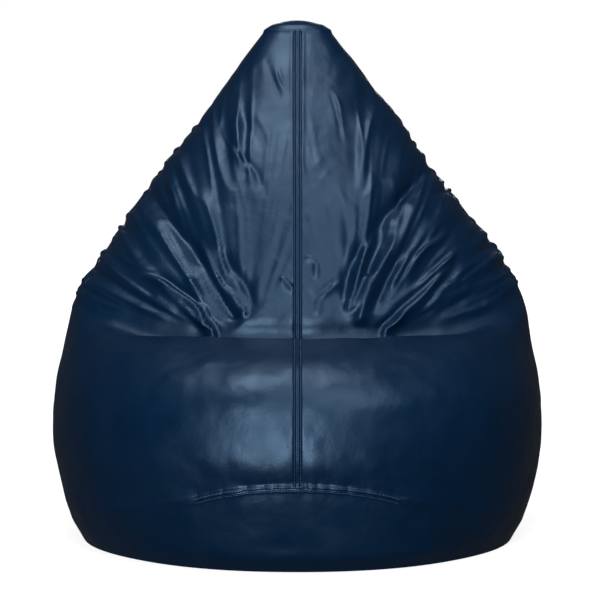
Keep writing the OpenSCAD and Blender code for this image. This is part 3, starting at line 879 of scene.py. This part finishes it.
def stitches(path, normals):
    # one closed stitch after another along a path that lies on the leatherette
    run = np.concatenate([[0], np.cumsum(lengths(np.diff(path, axis=0)))])
    starts = np.arange(0.002, run[-1] - thread["pitch"], thread["pitch"])
    part = np.linspace(0, 1, 7)
    at = starts[:, None] + part * thread["length"]
    place = np.stack([np.interp(at, run, path[:, k]) for k in range(3)], -1)
    over = np.stack([np.interp(at, run, normals[:, k]) for k in range(3)], -1)
    over = over / lengths(over)[..., None]
    along = np.gradient(place, axis=1)
    along = along / lengths(along)[..., None]
    across = np.cross(along, over)
    radius = thread["thickness"] / 2 * np.array([0.45, 0.85, 1, 1, 1, 0.85, 0.45])
    rise = thread["thickness"] * np.array([-0.35, 0.18, 0.38, 0.42, 0.38, 0.18, -0.35])
    turn = np.arange(6) * math.pi / 3
    ring = across[:, :, None] * np.cos(turn)[:, None] + over[:, :, None] * np.sin(turn)[:, None]
    points = (place + over * rise[:, None])[:, :, None] + ring * radius[:, None, None]
    one = gridFaces(7, 6, wrap=True) + [[5, 4, 3, 2, 1, 0], list(range(36, 42))]
    faces = [[i + 42 * k for i in face] for k in range(len(starts)) for face in one]
    return points.reshape(-1, 3), faces


def addStitches(name, rows, nodes):
    points, faces, count = [], [], 0
    for path, normals in rows:
        p, f = stitches(path, normals)
        points.append(p)
        faces += [[i + count for i in face] for face in f]
        count += len(p)
    piece = addMesh(name, np.vstack(points), faces)
    finishPiece(piece, "bag", threadMaterial, nodes)


threadMaterial = makeThread()
centreRows = [(dressed["front", side][0][6:-6, stitchRow], dressed["front", side][1][6:-6, stitchRow])
              for side in (-1, 1)]
addStitches("frontSeamStitches", centreRows, ["front_seam_thread"])
left, right = dressed["front", -1], dressed["front", 1]
above = [np.vstack([left[k][stitchRow, ::-1], right[k][stitchRow]]) for k in (0, 1)]
below = len(baseSkin) - 1 - stitchRow
columns = np.where(np.abs(np.linspace(-180, 180, 480, endpoint=False)) <= sack["corner"])[0]
archRows = [above, (baseSkin[below, columns], baseNormals[below, columns])]
addStitches("baseSeamStitches", archRows, ["base_seam_thread"])
print("stitches made")

# lining: plain woven cotton that reads as matt off-white cloth
lining = {"inset": 0.012, "thickness": 0.0005, "colour": "#e4e2da", "threads": 0.0012}
beads = {"inset": 0.0165, "colour": "#f3f3ef", "size": 0.005}


def makeLiningCloth():
    material, tree, place = newMaterial("wovenCottonLining")
    # real threads are 0.4 mm apart; they are drawn at 1.2 mm
    weave = addNode(tree, "TexWave", {"Scale": 1 / lining["threads"] / 20, "bands_direction": "Z"},
                    {"Vector": place})
    weft = addNode(tree, "TexWave", {"Scale": 1 / lining["threads"] / 20, "bands_direction": "X"},
                   {"Vector": place})
    both = addNode(tree, "Math", {"operation": "MULTIPLY"})
    tree.links.new(weave.outputs["Fac"], both.inputs[0])
    tree.links.new(weft.outputs["Fac"], both.inputs[1])
    bump = addNode(tree, "Bump", {"Strength": 0.3, "Distance": 0.0003},
                   {"Height": both.outputs["Value"]})
    shader = addNode(tree, "BsdfPrincipled",
                     {"Base Color": linear(lining["colour"]), "Roughness": 0.9, "Sheen Weight": 0.2},
                     {"Normal": bump.outputs["Normal"]})
    addNode(tree, "OutputMaterial", {}, {"Surface": shader.outputs["BSDF"]})
    return material


def makeBeadMaterial():
    # foamed polystyrene beads: matt white, with a round bead every 5 mm
    material, tree, place = newMaterial("expandedPolystyreneBeads")
    cells = addNode(tree, "TexVoronoi", {"Scale": 1 / beads["size"]}, {"Vector": place})
    bump = addNode(tree, "Bump", {"Strength": 1.0, "Distance": 0.0020, "invert": True},
                   {"Height": cells.outputs["Distance"]})
    shader = addNode(tree, "BsdfPrincipled",
                     {"Base Color": linear(beads["colour"]), "Roughness": 0.7, "IOR": 1.55},
                     {"Normal": bump.outputs["Normal"]})
    addNode(tree, "OutputMaterial", {}, {"Surface": shader.outputs["BSDF"]})
    return material


def innerSkin(inset, first, last, count):
    # rows of a layer inside the cover, between two angles
    rows = 120
    v, angle = np.meshgrid(np.linspace(-0.985, lastRing + 0.985, rows), np.linspace(first, last, count),
                           indexing="ij")
    base, normal = skinPoint(angle, v), outward(angle, v)
    lowest = 0
    for stepV in (-0.06, 0, 0.06):
        for stepAngle in (-1.6, 0, 1.6):
            nearV, nearAngle = np.clip(v + stepV, -0.999, lastRing + 0.999), angle + stepAngle
            skin, under, up = foldedPoint(nearAngle, nearV)
            lowest = np.minimum(lowest, ((skin - under) * up).sum(-1))
    return base + normal * (lowest - inset)[..., None]


liningCloth = makeLiningCloth()
for side, node in ((-1, "liner_left"), (1, "liner_right")):
    points = innerSkin(lining["inset"], 0, 180 * side, 90)
    half = addMesh("lining" + ("Left" if side < 0 else "Right"), points,
                   gridFaces(points.shape[0], points.shape[1], flip=side < 0))
    thicken(half, lining["thickness"])
    finishPiece(half, "bag", liningCloth, [node])
points = innerSkin(beads["inset"], -180, 178, 180)
rows = points.shape[0]
caps = [list(range(180))[::-1], list(range((rows - 1) * 180, rows * 180))]
fill = addMesh("beanFill", points, gridFaces(rows, 180, wrap=True) + caps)
finishPiece(fill, "bag", makeBeadMaterial(), ["bean_fill"])
print("lining and fill made")

# zip: woven polyester tapes, nylon coils, and a slider and pull of nickel plated zinc
zipParts = {"coilPitch": 0.0013, "coilWire": 0.00042, "tapeColour": "#0b2440", "coilColour": "#0e2a4a"}


def makeTapeMaterial():
    # woven polyester twill: a dull navy with fine slanting ribs
    material, tree, place = newMaterial("wovenPolyesterTape")
    # ribs of the twill are 0.5 mm apart; they are drawn at 1 mm
    ribs = addNode(tree, "TexWave", {"Scale": 1 / 0.001 / 20, "bands_direction": "DIAGONAL"},
                   {"Vector": place})
    bump = addNode(tree, "Bump", {"Strength": 0.6, "Distance": 0.0003},
                   {"Height": ribs.outputs["Fac"]})
    shader = addNode(tree, "BsdfPrincipled",
                     {"Base Color": linear(zipParts["tapeColour"]), "Roughness": 0.85, "Sheen Weight": 0.25},
                     {"Normal": bump.outputs["Normal"]})
    addNode(tree, "OutputMaterial", {}, {"Surface": shader.outputs["BSDF"]})
    return material


def makeCoilMaterial():
    # extruded nylon filament: smooth, with a narrow shine along each turn
    material, tree, place = newMaterial("extrudedNylonCoil")
    tone = addNode(tree, "TexNoise", {"Scale": 1 / 0.004}, {"Vector": place})
    rough = addNode(tree, "MapRange", {"To Min": 0.3, "To Max": 0.42},
                    {"Value": tone.outputs["Fac"]})
    shader = addNode(tree, "BsdfPrincipled",
                     {"Base Color": linear(zipParts["coilColour"]), "IOR": 1.53},
                     {"Roughness": rough.outputs["Result"]})
    addNode(tree, "OutputMaterial", {}, {"Surface": shader.outputs["BSDF"]})
    return material


def makeNickel():
    # barrel-plated nickel on a zinc casting: warm grey, soft reflections from tumbled edges
    material, tree, place = newMaterial("nickelPlatedZincCasting")
    tone = addNode(tree, "TexNoise", {"Scale": 1 / 0.003, "Detail": 4}, {"Vector": place})
    rough = addNode(tree, "MapRange", {"To Min": 0.22, "To Max": 0.36},
                    {"Value": tone.outputs["Fac"]})
    bump = addNode(tree, "Bump", {"Strength": 0.15, "Distance": 0.0001},
                   {"Height": tone.outputs["Fac"]})
    shader = addNode(tree, "BsdfPrincipled", {"Base Color": linear("#c9c5bd"), "Metallic": 1.0},
                     {"Roughness": rough.outputs["Result"], "Normal": bump.outputs["Normal"]})
    addNode(tree, "OutputMaterial", {}, {"Surface": shader.outputs["BSDF"]})
    return material


def coil(side):
    low, high = corners("zip_chain_right" if side > 0 else "zip_chain_left")
    turns = int((high[2] - low[2]) / zipParts["coilPitch"])
    steps = 14
    t = np.arange(turns * steps + 1) / steps
    wire = zipParts["coilWire"]
    middle, half = (low + high) / 2, (high - low) / 2
    # a flattened coil: straight across the tape, bent tight at the edge
    x = middle[0] + side * (half[0] - wire) * np.clip(1.25 * np.cos(2 * math.pi * t), -1, 1)
    y = middle[1] + (half[1] - wire) * np.sin(2 * math.pi * t)
    z = low[2] + wire + (high[2] - low[2] - 2 * wire) * t / turns
    path = np.stack([x, y, z], -1)
    along = np.gradient(path, axis=0)
    along = along / lengths(along)[:, None]
    out = np.cross(along, [0, 0, 1.0])
    out = out / lengths(out)[:, None]
    over = np.cross(out, along)
    turn = np.arange(6) * math.pi / 3
    ring = out[:, None] * np.cos(turn)[:, None] + over[:, None] * np.sin(turn)[:, None]
    points = path[:, None] + wire * ring
    rows = len(path)
    faces = gridFaces(rows, 6, wrap=True) + [[5, 4, 3, 2, 1, 0], list(range(6 * rows - 6, 6 * rows))]
    # the filler cord that runs inside the coil
    steps = 60
    level = np.linspace(low[2] + wire, high[2] - wire, steps)[:, None] * np.ones(6)
    swell = 1 + 0.12 * np.cos(math.pi * np.arange(steps))[:, None]
    x = middle[0] + 0.62 * half[0] * swell * np.cos(turn)
    y = middle[1] + 0.4 * half[1] * np.sin(turn) * swell
    cord = np.stack([x, y, level], -1).reshape(-1, 3)
    ends = [[5, 4, 3, 2, 1, 0], list(range(6 * steps - 6, 6 * steps))]
    points = points.reshape(-1, 3)
    faces += [[i + len(points) for i in face] for face in gridFaces(steps, 6, wrap=True) + ends]
    return np.vstack([points, cord]), faces


tapeMaterial, coilMaterial, nickel = makeTapeMaterial(), makeCoilMaterial(), makeNickel()
for side, word in ((-1, "left"), (1, "right")):
    points, faces = coil(side)
    chain = addMesh("zipCoil" + word.capitalize(), points, faces)
    finishPiece(chain, "bag", coilMaterial, ["zip_chain_" + word])


def dressNode(name, material, bevel=0.0):
    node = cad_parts[name]
    node.data.materials.clear()
    node.data.materials.append(material)
    if bevel:
        weld = node.modifiers.new("weld", "WELD")
        weld.merge_threshold = 0.00001
        edge = node.modifiers.new("softEdges", "BEVEL")
        edge.width = bevel
        edge.segments = 2
        edge.limit_method = "ANGLE"


for name in ("zip_tape_left", "zip_tape_right"):
    dressNode(name, tapeMaterial)
for name in ("liner_hook_strip", "liner_loop_strip"):
    dressNode(name, liningCloth)
for name in ("zip_lower_stops", "zip_upper_stop", "zip_slider", "zip_pull"):
    dressNode(name, nickel, 0.0002)
print("zip made")

# plain pale floor, white surroundings, a tall soft light beside the camera, two above and one behind
studio = {
    "front": {"power": 232, "size": (0.82, 4.5), "place": (-0.75, -4.6, 0.75), "aim": (0, 0, 0.3)},
    "top": {"power": 64, "size": (2.4, 2.2), "place": (1.05, -2.6, 3.5), "aim": (0, 0, 0.5)},
    "over": {"power": 72, "size": (1.2, 2.0), "place": (-0.40, -0.7, 3.9), "aim": (0, -0.3, 0.4)},
    "rear": {"power": 75, "size": (1.6, 2.6), "place": (0.1, 4.6, 1.5), "aim": (0, 0, 0.4)},
    "ambient": 0.06,
}


def makeStudio():
    scene = bpy.context.scene
    scene.view_settings.view_transform = "Standard"
    world = bpy.data.worlds.new("studio")
    scene.world = world
    world.use_nodes = True
    tree = world.node_tree
    tree.nodes.clear()
    seen = addNode(tree, "Background", {"Color": (1, 1, 1, 1), "Strength": 1.0})
    felt = addNode(tree, "Background", {"Color": (1, 1, 1, 1), "Strength": studio["ambient"]})
    path = addNode(tree, "LightPath")
    both = addNode(tree, "MixShader", {}, {"Fac": path.outputs["Is Camera Ray"]})
    tree.links.new(felt.outputs[0], both.inputs[1])
    tree.links.new(seen.outputs[0], both.inputs[2])
    addNode(tree, "OutputWorld", {}, {"Surface": both.outputs[0]})
    floor = addMesh("floor", [(-30, -30, -0.0005), (30, -30, -0.0005), (30, 30, -0.0005), (-30, 30, -0.0005)],
                    [[0, 1, 2, 3]])
    material, tree, place = newMaterial("paintedFloor")
    paint = addNode(tree, "BsdfDiffuse", {"Color": (0.35, 0.35, 0.35, 1)})
    # it fades into the white surroundings further out
    away = addNode(tree, "VectorMath", {"operation": "LENGTH"}, {"Vector": place})
    fade = addNode(tree, "MapRange",
                   {"From Min": 1.0, "From Max": 5.0, "To Min": 0.86, "To Max": 1.0},
                   {"Value": away.outputs["Value"]})
    glow = addNode(tree, "Emission", {"Color": (1, 1, 1, 1)}, {"Strength": fade.outputs["Result"]})
    both = addNode(tree, "AddShader")
    tree.links.new(paint.outputs[0], both.inputs[0])
    tree.links.new(glow.outputs[0], both.inputs[1])
    addNode(tree, "OutputMaterial", {}, {"Surface": both.outputs[0]})
    floor.data.materials.append(material)
    floor.visible_diffuse = False
    floor.visible_glossy = False
    floor.visible_shadow = False
    for name in ("front", "top", "over", "rear"):
        box = studio[name]
        lamp = bpy.data.lights.new(name, "AREA")
        lamp.shape = "RECTANGLE"
        lamp.energy = box["power"]
        lamp.size, lamp.size_y = box["size"]
        light = bpy.data.objects.new(name, lamp)
        light.location = box["place"]
        light.rotation_euler = (Vector(box["aim"]) - light.location).to_track_quat("-Z", "Y").to_euler()
        scene.collection.objects.link(light)


makeStudio()

print("cad size", [round(h - l, 4) for l, h in zip(cadLow, cadHigh)])
